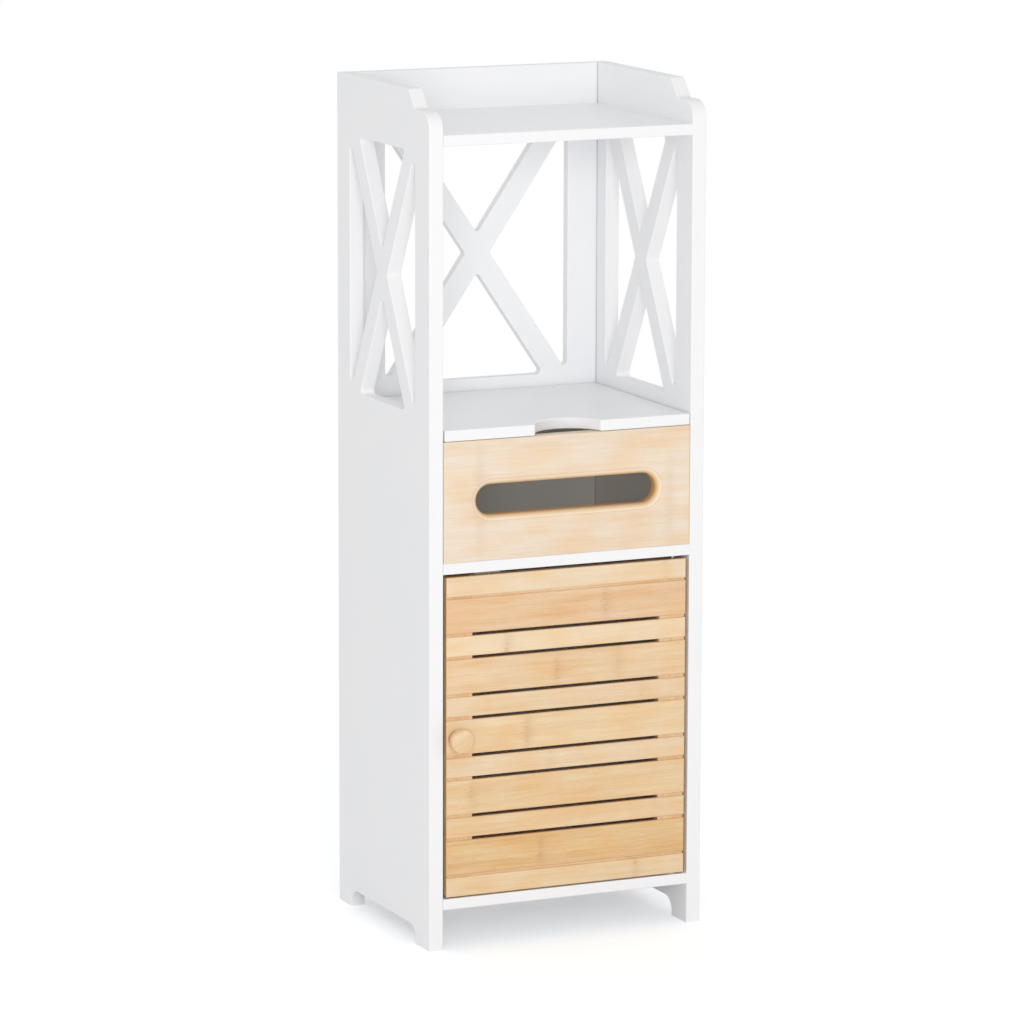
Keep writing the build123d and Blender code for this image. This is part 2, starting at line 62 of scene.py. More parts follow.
def aimCamera(settings):
    camera = bpy.data.objects.new("shotCamera", bpy.data.cameras.new("shotCamera"))
    bpy.context.scene.collection.objects.link(camera)
    turn, tilt, roll = (math.radians(settings[key]) for key in ("turn", "tilt", "roll"))
    camera.matrix_world = (Matrix.Translation(settings["place"]) @ Matrix.Rotation(turn, 4, "Z")
                           @ Matrix.Rotation(math.pi / 2 - tilt, 4, "X") @ Matrix.Rotation(-roll, 4, "Z"))
    camera.data.lens = settings["lens"]
    camera.data.sensor_width = settings["sensor"]
    camera.data.clip_start, camera.data.clip_end = settings["nearest"], settings["furthest"]
    bpy.context.scene.camera = camera


aimCamera(shot)
bpy.context.scene.view_settings.view_transform = "Standard"
print("camera set")


def linearColour(hexCode):
    # each sRGB channel over 255, with the sRGB curve undone
    channels = np.array([int(hexCode[i:i + 2], 16) for i in (0, 2, 4)]) / 255
    straight = np.where(channels <= 0.04045, channels / 12.92, ((channels + 0.055) / 1.055) ** 2.4)
    return [*straight.tolist(), 1.0]


def addNode(tree, kind, settings=None, links=None):
    # a key that is a property of the node is set on it, any other key is one of its sockets
    node = tree.nodes.new("ShaderNode" + kind)
    for key, value in (settings or {}).items():
        if isinstance(key, str) and hasattr(node, key):
            setattr(node, key, value)
        else:
            node.inputs[key].default_value = value
    for key, source in (links or {}).items():
        tree.links.new(source, node.inputs[key])
    return node


def fromTo(source, target=(0.0, 1.0)):
    # the settings of a range that carries the ends of one span to those of another
    return {"From Min": source[0], "From Max": source[1], "To Min": target[0], "To Max": target[1]}


def newMaterial(name):
    material = bpy.data.materials.new(name)
    material.use_nodes = True
    tree = material.node_tree
    tree.nodes.clear()
    shader = addNode(tree, "BsdfPrincipled")
    output = addNode(tree, "OutputMaterial", None, {"Surface": shader.outputs[0]})
    output.is_active_output = True
    return material, tree, shader


coatIor = 1.5    # of lacquer and varnish


def wear(nodeName, material):
    data = nodes[nodeName].data
    data.materials.clear()
    data.materials.append(material)


# Sprayed satin lacquer on fibreboard: an even cool white, with a soft broad sheen and a faint orange peel.
# Cut edges drink more lacquer, so they are a little rougher and greyer. Inside the box behind the slotted front the
# boards are painted a warmer cream, a painted warm shade for the light the bamboo throws back in there. A fine grey
# painted shadow line darkens the corners between the side panels and the back, where the boards meet.
lacquer = {
    "white": "F5F5F6", "shade": "F1F2F4", "edge": "F0F0F1",
    # inside: a warmer cream painted on the boards inside the box, painted warm shade for light thrown back by the
    # bamboo
    "inside": "F3EFE9", "boxMiddle": (0, 0.012, 0.48625), "boxHalf": (0.1453, 0.1128, 0.0656),
    # the grey of the painted shadow line in the corners where the side panels meet the back, and how strongly it
    # shows
    "jointShadow": "8F959B", "jointShare": 0.8,
    "jointBack": 0.1229, "jointWidth": 0.0011,    # how far back the line runs, and how far it fades each way
    "jointOut": 0.1455, "jointReach": 0.0012,     # the same from the middle, where it ends sharply
    "cloudSize": 0.110,                 # 110 mm clouds in the sprayed coat
    "peelSize": 0.0026,                 # orange peel, 1 mm in life, drawn coarser so that it shows
    "peelHeight": 0.00003,
    "faceRoughness": 0.36, "edgeRoughness": 0.5,
    "squareness": (0.2, 0.9),           # how squarely a surface faces out of the board, at an edge and on a face
}


def lacqueredBoard(name, faceAxis, look):
    material, tree, shader = newMaterial(name)
    place = addNode(tree, "TexCoord")
    clouds = addNode(tree, "TexNoise", {"Scale": 1 / look["cloudSize"], "Detail": 2.0},
                     {"Vector": place.outputs["Object"]})
    tint = addNode(tree, "Mix", {"data_type": "RGBA", 6: linearColour(look["white"]),
                                 7: linearColour(look["shade"])}, {0: clouds.outputs["Fac"]})
    axes = addNode(tree, "SeparateXYZ", None, {0: place.outputs["Normal"]})
    facing = addNode(tree, "Math", {"operation": "ABSOLUTE"}, {0: axes.outputs[faceAxis]})
    onFace = addNode(tree, "MapRange", fromTo(look["squareness"]), {"Value": facing.outputs[0]})
    coat = addNode(tree, "Mix", {"data_type": "RGBA", 6: linearColour(look["edge"])},
                   {0: onFace.outputs[0], 7: tint.outputs[2]})
    # inside the box the boards are painted a warmer cream: painted warm shade for the light the bamboo throws back
    local = addNode(tree, "Mapping", {"vector_type": "TEXTURE", "Location": look["boxMiddle"],
                                      "Scale": look["boxHalf"]}, {"Vector": place.outputs["Object"]})
    outward = addNode(tree, "VectorMath", {"operation": "ABSOLUTE"}, {0: local.outputs[0]})
    sides = addNode(tree, "SeparateXYZ", None, {0: outward.outputs[0]})
    widest = addNode(tree, "Math", {"operation": "MAXIMUM"}, {0: sides.outputs["X"], 1: sides.outputs["Y"]})
    furthest = addNode(tree, "Math", {"operation": "MAXIMUM"}, {0: widest.outputs[0], 1: sides.outputs["Z"]})
    inBox = addNode(tree, "Math", {"operation": "LESS_THAN", 1: 1.0}, {0: furthest.outputs[0]})
    boxShaded = addNode(tree, "Mix", {"data_type": "RGBA", 7: linearColour(look["inside"])},
                    {0: inBox.outputs[0], 6: coat.outputs[2]})
    # painted shadow line: a fine grey line darkens the corners where the side panels meet the back
    plain = addNode(tree, "SeparateXYZ", None, {0: place.outputs["Object"]})
    across = addNode(tree, "Math", {"operation": "ABSOLUTE"}, {0: plain.outputs["X"]})
    within = addNode(tree, "Math", {"operation": "COMPARE", 1: look["jointOut"], 2: look["jointReach"]},
                     {0: across.outputs[0]})
    beside = addNode(tree, "Math", {"operation": "SUBTRACT", 1: look["jointBack"]}, {0: plain.outputs["Y"]})
    offJoint = addNode(tree, "Math", {"operation": "ABSOLUTE"}, {0: beside.outputs[0]})
    fine = addNode(tree, "MapRange", fromTo((look["jointWidth"], 0.0), (0.0, look["jointShare"])),
                   {"Value": offJoint.outputs[0]})
    seam = addNode(tree, "Math", {"operation": "MULTIPLY"}, {0: fine.outputs[0], 1: within.outputs[0]})
    jointShadowed = addNode(tree, "Mix", {"data_type": "RGBA", 7: linearColour(look["jointShadow"])},
                     {0: seam.outputs[0], 6: boxShaded.outputs[2]})
    peel = addNode(tree, "TexNoise", {"Scale": 1 / look["peelSize"], "Detail": 1.0},
                   {"Vector": place.outputs["Object"]})
    rough = addNode(tree, "MapRange", fromTo(look["squareness"], (look["edgeRoughness"], look["faceRoughness"])),
                    {"Value": facing.outputs[0]})
    bump = addNode(tree, "Bump", {"Strength": 1.0, "Distance": look["peelHeight"]},
                   {"Height": peel.outputs["Fac"]})
    tree.links.new(jointShadowed.outputs[2], shader.inputs["Base Color"])
    tree.links.new(rough.outputs[0], shader.inputs["Roughness"])
    tree.links.new(bump.outputs[0], shader.inputs["Normal"])
    shader.inputs["IOR"].default_value = coatIor
    return material


uprightLacquer = lacqueredBoard("satinLacquerUprightBoard", 0, lacquer)
backLacquer = lacqueredBoard("satinLacquerBackBoard", 1, lacquer)
shelfLacquer = lacqueredBoard("satinLacquerShelfBoard", 2, lacquer)
for name in ("left_side_panel", "right_side_panel"):
    wear(name, uprightLacquer)
wear("back_panel", backLacquer)
for name in ("top_shelf", "divider_shelf", "bottom_shelf", "lid"):
    wear(name, shelfLacquer)
print("boards lacquered")


grainy = {
    "contrast": (0.35, 0.65),           # the part of the noise that goes from one colour to the other
    "relief": 0.5, "sizeOverDepth": 20,
}


def grainyMaterial(name, first, second, size, roughness, stretch=(1, 1, 1)):
    # two colours in a noise of a real grain size, pulled out along one axis where the material has a grain
    material, tree, shader = newMaterial(name)
    place = addNode(tree, "TexCoord")
    pulled = addNode(tree, "VectorMath", {"operation": "MULTIPLY", 1: stretch}, {0: place.outputs["Object"]})
    grain = addNode(tree, "TexNoise", {"Scale": 1 / size, "Detail": 3.0}, {"Vector": pulled.outputs[0]})
    sharp = addNode(tree, "MapRange", fromTo(grainy["contrast"]), {"Value": grain.outputs["Fac"]})
    tint = addNode(tree, "Mix", {"data_type": "RGBA", 6: linearColour(first), 7: linearColour(second)},
                   {0: sharp.outputs[0]})
    bump = addNode(tree, "Bump", {"Strength": grainy["relief"], "Distance": size / grainy["sizeOverDepth"]},
                   {"Height": grain.outputs["Fac"]})
    tree.links.new(tint.outputs[2], shader.inputs["Base Color"])
    tree.links.new(bump.outputs[0], shader.inputs["Normal"])
    shader.inputs["Roughness"].default_value = roughness
    return material


# Pressed bamboo strips, sanded and varnished satin: straight fine fibres, soft streaks, patches of a warmer
# yellow, and here and there a knuckle where the cane had a joint, a broken line in a brownish haze.
bambooGrain = {
    "stripWidth": 0.0193,                         # 19 mm strips glued side by side
    "fibreWidth": 0.0012, "fibreLength": 0.035,   # fibres are 0.3 mm in life, drawn coarser so that they show
    "dashWidth": 0.0009, "dashLength": 0.009,     # short dark vessels, 0.2 mm in life, drawn coarser too
    "streakWidth": 0.007, "streakLength": 0.14,
    "cloudWidth": 0.05, "cloudLength": 0.16,
    "patchWidth": 0.02, "patchLength": 0.05, "patch": "FFF5E6",
    # the part of each noise's range that carries its pattern
    "spread": (0.3, 0.7), "dashSpread": (0.5, 0.8), "patchSpread": (0.4, 0.65), "lineSpread": (0.5, 0.68),
    "knuckleLine": 0.0042, "knuckleHaze": 0.012, "wander": 0.009,
    "endTurn": (0.55, 0.9),                       # how squarely the fibres meet a surface that shows their ends
    "bundlesPerMetre": 1100.0, "bundleSize": (0.15, 0.5), "bundleShare": 0.45,
    "roughness": (0.42, 0.55),
    "fibreDepth": 0.00006, "relief": 0.6,
}


def bambooMaterial(name, look):
    # look: light, dark, knuckle and endGrain colours, shift and turn of the grain, how strongly each part
    # shows, and the knuckles, each with its place along and across the grain, its half width and its strength
    grain = {**bambooGrain, **look}
    material, tree, shader = newMaterial(name)
    place = addNode(tree, "TexCoord")
    turned = addNode(tree, "Mapping", {"Rotation": grain["turn"]}, {"Vector": place.outputs["Object"]})
    along = addNode(tree, "VectorMath", {"operation": "ADD", 1: grain["shift"]}, {0: turned.outputs[0]})
    axes = addNode(tree, "SeparateXYZ", None, {0: along.outputs[0]})
    strip = addNode(tree, "Math", {"operation": "DIVIDE", 1: grain["stripWidth"]}, {0: axes.outputs["Z"]})
    stripNumber = addNode(tree, "Math", {"operation": "FLOOR"}, {0: strip.outputs[0]})
    stripChance = addNode(tree, "TexWhiteNoise", {"noise_dimensions": "1D"}, {"W": stripNumber.outputs[0]})

    def stretched(length, width, detail):
        squeeze = addNode(tree, "VectorMath", {"operation": "MULTIPLY", 1: (1 / length, 1 / width, 1 / width)},
                          {0: along.outputs[0]})
        noise = addNode(tree, "TexNoise", {"Scale": 1.0, "Detail": detail}, {"Vector": squeeze.outputs[0]})
        return noise.outputs["Fac"]

    fibre = stretched(grain["fibreLength"], grain["fibreWidth"], 3.0)
    streak = stretched(grain["streakLength"], grain["streakWidth"], 2.0)
    cloud = stretched(grain["cloudLength"], grain["cloudWidth"], 1.0)
    dash = stretched(grain["dashLength"], grain["dashWidth"], 1.0)
    patch = stretched(grain["patchLength"], grain["patchWidth"], 2.0)

    def weighted(source, spread, share, base=None):
        # stretches a noise over a range, times a share, and adds it to what came before
        ranged = addNode(tree, "MapRange", fromTo(spread, (0.0, share)), {"Value": source})
        if base is None:
            return ranged.outputs[0]
        return addNode(tree, "Math", {"operation": "ADD"}, {0: base, 1: ranged.outputs[0]}).outputs[0]

    tone = weighted(fibre, grain["spread"], grain["fibreShare"])
    tone = weighted(streak, grain["spread"], grain["streakShare"], tone)
    tone = weighted(cloud, grain["spread"], grain["cloudShare"], tone)
    tone = weighted(dash, grain["dashSpread"], grain["dashShare"], tone)
    tone = weighted(stripChance.outputs["Value"], (0.0, 1.0), grain["stripShare"], tone)
    spreadTone = addNode(tree, "MapRange", fromTo(grain["toneRange"]), {"Value": tone})
    wood = addNode(tree, "Mix", {"data_type": "RGBA", 6: linearColour(grain["light"]),
                                 7: linearColour(grain["dark"])}, {0: spreadTone.outputs[0]})
    patchShare = addNode(tree, "MapRange", fromTo(grain["patchSpread"]), {"Value": patch})
    patched = addNode(tree, "Mix", {"data_type": "RGBA", "blend_type": "MULTIPLY",
                                    7: linearColour(grain["patch"])}, {0: patchShare.outputs[0], 6: wood.outputs[2]})

    # each fibre reaches the knuckle a little earlier or later than its neighbour
    plain = addNode(tree, "SeparateXYZ", None, {0: turned.outputs[0]})
    wandered = addNode(tree, "Math", {"operation": "MULTIPLY_ADD", 1: grain["wander"]},
                       {0: dash, 2: plain.outputs["X"]})
    shaken = addNode(tree, "CombineXYZ", None, {0: wandered.outputs[0], 2: plain.outputs["Z"]})

    def nearKnuckles(halfLength, share):
        # an ellipse round each knuckle, from nothing at its rim to the share at its middle
        total = None
        for middle, level, halfWidth, strength in grain["knuckles"]:
            centre = (middle + grain["wander"] / 2, 0, level)
            local = addNode(tree, "Mapping", {"vector_type": "TEXTURE", "Location": centre,
                                              "Scale": (halfLength, 1, halfWidth)}, {"Vector": shaken.outputs[0]})
            away = addNode(tree, "VectorMath", {"operation": "LENGTH"}, {0: local.outputs[0]})
            near = addNode(tree, "MapRange", {"interpolation_type": "SMOOTHSTEP",
                                              **fromTo((1.0, 0.0), (0.0, share * strength))},
                           {"Value": away.outputs["Value"]})
            total = near if total is None else addNode(tree, "Math", {"operation": "ADD"},
                                                       {0: total.outputs[0], 1: near.outputs[0]})
        return total.outputs[0]

    broken = addNode(tree, "MapRange", fromTo(grain["lineSpread"]), {"Value": dash})
    line = addNode(tree, "Math", {"operation": "MULTIPLY"},
                   {0: nearKnuckles(grain["knuckleLine"], grain["lineShare"]), 1: broken.outputs[0]})
    mark = addNode(tree, "Math", {"operation": "ADD", "use_clamp": True},
                   {0: line.outputs[0], 1: nearKnuckles(grain["knuckleHaze"], grain["hazeShare"])})
    marked = addNode(tree, "Mix", {"data_type": "RGBA", 7: linearColour(grain["knuckle"])},
                     {0: mark.outputs[0], 6: patched.outputs[2]})

    # the sawn ends show the cut fibre bundles as dots
    normal = addNode(tree, "Mapping", {"vector_type": "NORMAL", "Rotation": grain["turn"]},
                     {"Vector": place.outputs["Normal"]})
    normalAxes = addNode(tree, "SeparateXYZ", None, {0: normal.outputs[0]})
    endOn = addNode(tree, "Math", {"operation": "ABSOLUTE"}, {0: normalAxes.outputs["X"]})
    endShare = addNode(tree, "MapRange", {"interpolation_type": "SMOOTHSTEP", **fromTo(grain["endTurn"])},
                       {"Value": endOn.outputs[0]})
    bundles = addNode(tree, "TexVoronoi", {"Scale": grain["bundlesPerMetre"]}, {"Vector": place.outputs["Object"]})
    dots = addNode(tree, "MapRange", fromTo(grain["bundleSize"], (grain["bundleShare"], 0.0)),
                   {"Value": bundles.outputs["Distance"]})
    ends = addNode(tree, "Mix", {"data_type": "RGBA", 6: linearColour(grain["endGrain"]),
                                 7: linearColour(grain["knuckle"])}, {0: dots.outputs[0]})
    full = addNode(tree, "Mix", {"data_type": "RGBA"},
                   {0: endShare.outputs[0], 6: marked.outputs[2], 7: ends.outputs[2]})

    rough = addNode(tree, "MapRange", fromTo(grain["spread"], grain["roughness"]), {"Value": fibre})
    height = addNode(tree, "Math", {"operation": "SUBTRACT"}, {0: fibre, 1: mark.outputs[0]})
    bump = addNode(tree, "Bump", {"Strength": grain["relief"], "Distance": grain["fibreDepth"]},
                   {"Height": height.outputs[0]})
    tree.links.new(full.outputs[2], shader.inputs["Base Color"])
    tree.links.new(rough.outputs[0], shader.inputs["Roughness"])
    tree.links.new(bump.outputs[0], shader.inputs["Normal"])
    shader.inputs["IOR"].default_value = coatIor
    return material, tree, shader, full


# Each slat is a flat board with eased front edges, thinned to a lap where it is glued over the door frame. Each
# was picked from a different cane, so each has its tone.
quarter = math.pi / 2
slatLook = {
    "round": 0.0018, "cornerRound": 0.0006, "leastRadius": 0.00005, "lap": 0.0025, "lapGap": 0.00025,
    "steps": 7, "cornerPoints": 5, "flatRing": 0.0004,
    "lights": ["ECD9BE", "E8CBA9", "EFDBBC", "EAD1AF", "EAD5B5", "EBD5B0",
               "E9D4B5", "E9D1AB", "E9D0AB", "E5C697", "E8D0AB"],
    "darks": ["E5CBA7", "DBB183", "E7CCA6", "DEBA8D", "E0C19B", "E1BF92",
              "DFC099", "DDB888", "DEBB8E", "D3A871", "DDBC92"],
    # of each slat, the knuckles: where along it, and how strong
    "joints": [[(0.118, 0.3)], [(0.046, 0.8)], [(-0.07, 0.9)], [(-0.011, 0.8), (0.061, 0.6)], [(0.09, 0.3)],
               [(-0.046, 0.9)], [(-0.02, 0.25)], [(-0.111, 0.7)], [(0.105, 0.3)], [(-0.03, 0.9)], [(0.084, 0.7)]],
    "jointHalfWidth": 0.032,
    "firstShift": (0, 0.05, 0), "shiftStep": (0.37, 0, 0.071),    # each slat is cut from another place
    "knuckle": "BE8F64", "endGrain": "E2B07A", "toneRange": (0.16, 0.84),
    "fibreShare": 0.3, "streakShare": 0.35, "cloudShare": 0.15, "dashShare": 0.2, "stripShare": 0.1,
    "lineShare": 0.6, "hazeShare": 0.26,
}


# The saw burns the long edges of a slat a little, so they are a browner, duller bamboo.
sawnEdge = grainyMaterial("sawnBambooEdge", "C48E60", "A8744A", 0.0009, 0.7, (0.1, 1, 1))


def boardSurface(outline, block, thickness, look):
    # A rectangle with rounded corners is carried from back to front: first the block that lies inside the door
    # frame, then from the lap on the whole outline, whose front edge follows a quarter circle. Every station
    # has its four sides, its depth behind the front and its corner radius.
    curve = np.linspace(0, quarter, look["steps"] + 1)
    drawn = np.concatenate([[0.0], look["round"] * (1 - np.cos(curve)), [look["round"] + look["flatRing"]]])
    depth = np.concatenate([[look["lap"]], look["round"] * (1 - np.sin(curve)), [0.0]])
    sides = np.array(outline) + drawn[:, None] * (1, -1, 1, -1)
    if block is not None:
        drawn = np.concatenate([[0.0, 0.0], drawn])
        depth = np.concatenate([[thickness, look["lap"]], depth])
        sides = np.vstack([block, block, sides])
    corner = np.linspace(0, quarter, look["cornerPoints"])
    turns = np.concatenate([corner + k * quarter for k in range(4)])
    onRight = np.repeat([True, False, False, True], corner.size)
    onTop = np.repeat([True, True, False, False], corner.size)
    radius = np.maximum(look["cornerRound"] - drawn, look["leastRadius"])[:, None]
    x = np.where(onRight, sides[:, 1:2] - radius, sides[:, 0:1] + radius) + radius * np.cos(turns)
    z = np.where(onTop, sides[:, 3:4] - radius, sides[:, 2:3] + radius) + radius * np.sin(turns)
    return np.stack([x, np.broadcast_to(depth[:, None], x.shape), z], axis=-1)


def gridFaces(rows, columns):
    # quads between neighbouring rows of a grid whose columns close on themselves
    row, column = np.meshgrid(np.arange(rows - 1), np.arange(columns), indexing="ij")
    nextColumn = (column + 1) % columns
    corners = [row * columns + column, row * columns + nextColumn,
               (row + 1) * columns + nextColumn, (row + 1) * columns + column]
    return np.stack(corners, axis=-1).reshape(-1, 4)


sharpAngle = math.radians(50)    # bends beyond this stay sharp, the others are shaded smooth


def addPiece(name, points, faces, material, body, stoodFor):
    mesh = bpy.data.meshes.new(name)
    mesh.from_pydata(points.reshape(-1, 3).tolist(), [], faces)
    mesh.validate()
    mesh.polygons.foreach_set("use_smooth", [True] * len(mesh.polygons))
    mesh.set_sharp_from_angle(angle=sharpAngle)
    mesh.materials.append(material)
    piece = bpy.data.objects.new(name, mesh)
    bpy.context.scene.collection.objects.link(piece)
    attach(piece, body)
    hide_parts(*stoodFor)
    return piece


def addSlats(look):
    (_, left), (right, _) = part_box("door_stile_left"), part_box("door_stile_right")
    (_, lower), (upper, _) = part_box("door_rail_bottom"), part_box("door_rail_top")
    ease = look["lapGap"]
    for number, (light, dark, joints) in enumerate(zip(look["lights"], look["darks"], look["joints"])):
        node = f"door_slat_{number + 1:02d}"
        low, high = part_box(node)
        thickness = high.y - low.y
        block = (left.x + ease, right.x - ease, max(low.z, lower.z + ease), min(high.z, upper.z - ease))
        grid = boardSurface((low.x, high.x, low.z, high.z), block if thickness > 2 * look["lap"] else None,
                            thickness, look)
        grid = grid + np.array((0, low.y, 0))
        rows, columns = grid.shape[:2]
        faces = gridFaces(rows, columns).tolist()
        faces.append(list(range(columns))[::-1])
        faces.append(list(range((rows - 1) * columns, rows * columns)))
        level = (low.z + high.z) / 2
        knuckles = [(middle, level, look["jointHalfWidth"], strength) for middle, strength in joints]
        shift = [first + number * step for first, step in zip(look["firstShift"], look["shiftStep"])]
        chosen = {**look, "light": light, "dark": dark, "knuckles": knuckles, "turn": (0, 0, 0), "shift": shift}
        material = bambooMaterial(f"varnishedBambooSlat{number + 1:02d}", chosen)[0]
        piece = addPiece(f"slat{number + 1:02d}", grid, faces, material, "door", [node])
        # the first ring of faces is the sawn wall of the block, on the slats that have one
        if rows > look["steps"] + 3:
            piece.data.materials.append(sawnEdge)
            walls = np.zeros(len(faces), np.int32)
            walls[:columns] = 1
            piece.data.polygons.foreach_set("material_index", walls)


addSlats(slatLook)
print("slats made")


slotLook = {
    "slotLength": 0.2105, "slotHeight": 0.0325, "roundOver": 0.007, "edgeRound": 0.0008,
    "crown": 0.0004, "crownBand": 0.002,    # the top edge stands up a little to close the joint under the lid
    "lipFlat": 0.0005, "rearRound": 0.0002,
    "straightSteps": 28, "arcSteps": 40, "roundSteps": 10, "faceSteps": 7, "wallSteps": 4, "edgeSteps": 4,
    "light": "EFE2D2", "dark": "E2CBAF", "knuckle": "C9A27C", "endGrain": "E6BE8C", "toneRange": (0.05, 0.95),
    # from the face into the slot, partly routed end grain and partly painted light: a painted shadow line at the
    # start of the lip, a pale lip with a painted highlight, a tan bend, and a browner wall with painted shade
    # deepening inwards
    "cut": [(0.0, "C79B68", 0.0), (0.05, "C79B68", 0.4), (0.14, "F4E3C8", 0.6), (0.5, "E8C491", 0.7),
            (1.0, "D9A263", 0.85)],
    "fibreShare": 0.3, "streakShare": 0.3, "cloudShare": 0.25, "dashShare": 0.15, "stripShare": 0.1,
    "lineShare": 0.15, "hazeShare": 0.3, "knuckles": [(-0.102, 0.486, 0.09, 0.7), (0.1205, 0.47, 0.07, 0.6)],
    "turn": (0, 0, 0), "shift": (0.113, 0.0, 0.006),
}


def slottedSurface(length, height, thickness, look):
    # Two closed outlines share one parameter: the slot, a stretched circle, and the rectangle of the board,
    # whose corners sit at the eighths of the slot's end arcs. A closed profile runs round every pair of points:
    # up the slot's wall, over a quarter circle, across the face, round the outer edge and back along the rear.
    reach, radius = (look["slotLength"] - look["slotHeight"]) / 2, look["slotHeight"] / 2
    halfX, halfZ = length / 2, height / 2
    straight = np.linspace(1, -1, look["straightSteps"], endpoint=False)
    arc = np.linspace(0, 1, look["arcSteps"], endpoint=False)
    turns = np.concatenate([np.full(straight.size, quarter), quarter + math.pi * arc,
                            np.full(straight.size, 3 * quarter), 3 * quarter + math.pi * arc])
    middle = np.concatenate([reach * straight, np.full(arc.size, -reach),
                             -reach * straight, np.full(arc.size, reach)])
    cornerAt = np.array([0, 0.25, 0.75, 1.0])
    leftX = np.interp(arc, cornerAt, [-reach, -halfX, -halfX, -reach])
    leftZ = np.interp(arc, cornerAt, [halfZ, halfZ, -halfZ, -halfZ])
    outerX = np.concatenate([reach * straight, leftX, -reach * straight, -leftX])
    outerZ = np.concatenate([np.full(straight.size, halfZ), leftZ, np.full(straight.size, -halfZ), -leftZ])

    curve = np.linspace(0, quarter, look["roundSteps"] + 1)
    short = np.linspace(0, quarter, look["edgeSteps"])
    across = np.linspace(0, 1, look["faceSteps"] + 1)
    over, edge, chamfer = look["roundOver"], look["edgeRound"], look["rearRound"]
    # columns: how far out of the slot, share of the way to the rectangle, draw-in of the rectangle, depth, routed
    wall = [(0, 0, 0, y, 1.0) for y in np.linspace(thickness, over, look["wallSteps"])[:-1]]
    lip = [(over * (1 - math.cos(t)), 0, 0, over * (1 - math.sin(t)), 1 - t / quarter) for t in curve]
    face = [(over + look["lipFlat"], m, edge, 0, 0.0) for m in across]
    rim = [(over, 1, edge * (1 - math.sin(t)), edge * (1 - math.cos(t)), 0.0) for t in short[1:]]
    back = [(0, 1, 0, thickness - chamfer, 0.0), (0, 1, chamfer, thickness, 0.0)]
    rear = [(0, m, 0, thickness, 0.0) for m in across[-2:0:-1]]
    out, share, draw, depth, routed = np.array(wall + lip + face + rim + back + rear).T[:, :, None]
    slotX, slotZ = middle + (radius + out) * np.cos(turns), (radius + out) * np.sin(turns)
    rectX = outerX * (halfX - draw) / halfX
    rectZ = outerZ * (halfZ - draw) / halfZ
    x, z = slotX * (1 - share) + rectX * share, slotZ * (1 - share) + rectZ * share
    grid = np.stack([x, np.broadcast_to(depth, x.shape), z], axis=-1)
    return grid, np.broadcast_to(routed, x.shape)


def addSlottedFront(look):
    node = "slotted_front_panel"
    low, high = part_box(node)
    grid, routed = slottedSurface(high.x - low.x, high.z - low.z, high.y - low.y, look)
    grid = grid + np.array(((low.x + high.x) / 2, low.y, (low.z + high.z) / 2))
    grid[..., 2] += look["crown"] * (grid[..., 2] > high.z - look["crownBand"])
    rows, columns = grid.shape[:2]
    seam = gridFaces(2, columns) % columns + [[(rows - 1) * columns] * 2 + [0] * 2]
    closed = np.concatenate([gridFaces(rows, columns), seam])
    material, tree, shader, wood = bambooMaterial("varnishedBambooFront", look)
    # the slot's lip: routed end grain, with a painted shadow line, a painted highlight on the pale lip and painted
    # shade in the wall
    cut = addNode(tree, "Attribute", {"attribute_name": "routed"})
    ramp = addNode(tree, "ValToRGB", None, {"Fac": cut.outputs["Fac"]})
    stops = ramp.color_ramp.elements
    for number, (spot, hexCode, strength) in enumerate(look["cut"]):
        stop = stops[number] if number < 2 else stops.new(spot)
        stop.position, stop.color = spot, [*linearColour(hexCode)[:3], strength]
    cutAndShaded = addNode(tree, "Mix", {"data_type": "RGBA"},
                     {0: ramp.outputs["Alpha"], 6: wood.outputs[2], 7: ramp.outputs["Color"]})
    tree.links.new(cutAndShaded.outputs[2], shader.inputs["Base Color"])
    piece = addPiece("slottedFront", grid, closed.tolist(), material, "cabinet", [node])
    layer = piece.data.attributes.new("routed", "FLOAT", "POINT")
    layer.data.foreach_set("value", routed.ravel().astype(np.float32))


addSlottedFront(slotLook)
print("slotted front made")


knobLook = {
    "base": 0.0085, "neck": 0.006, "neckAt": 0.0065, "headAt": 0.0148, "edgeRound": 0.0016,
    "around": 72, "neckSteps": 8, "headSteps": 16, "rimSteps": 7, "frontSteps": 9, "frontMiddle": 0.12,
    # the painted shade on the neck under the head: its colour, how strongly it shows, and where it fades out
    "neckShadeColour": "C48A50", "neckShadeShare": 0.75, "neckShadeFade": (0.0135, 0.0085),    # metres off the door
    "light": "F0D8B4", "dark": "D5AA74", "knuckle": "A87848", "endGrain": "E2BC88",
    "stripWidth": 0.0085, "toneRange": (0.1, 0.9), "knuckles": [(0, 0, 0.01, 0.3)],
    "fibreShare": 0.3, "streakShare": 0.2, "cloudShare": 0.1, "dashShare": 0.1, "stripShare": 0.3,
    "lineShare": 0.3, "hazeShare": 0.2, "turn": (0, math.radians(28), 0), "shift": (0.031, 0.0, 0.0131),
}


def knobProfile(radius, projection, look):
    # radius against the height off the door: a quarter cosine down to the neck, a quarter sine out to the
    # head, a straight rim, a quarter circle over its edge, and in to the middle
    down = np.linspace(0, 1, look["neckSteps"])
    flare = np.linspace(0, 1, look["headSteps"])[1:]
    over = np.linspace(0, quarter, look["rimSteps"])
    inward = np.linspace(1, look["frontMiddle"], look["frontSteps"])[1:]
    neckAt, headAt, edge = look["neckAt"], look["headAt"], look["edgeRound"]
    r = np.concatenate([look["neck"] + (look["base"] - look["neck"]) * (1 - np.sin(quarter * down)),
                        look["neck"] + (radius - look["neck"]) * (1 - np.cos(quarter * flare)),
                        radius - edge + edge * np.cos(over), (radius - edge) * inward])
    h = np.concatenate([neckAt * down, neckAt + (headAt - neckAt) * flare,
                        projection - edge + edge * np.sin(over), np.full(inward.size, projection)])
    return r, h


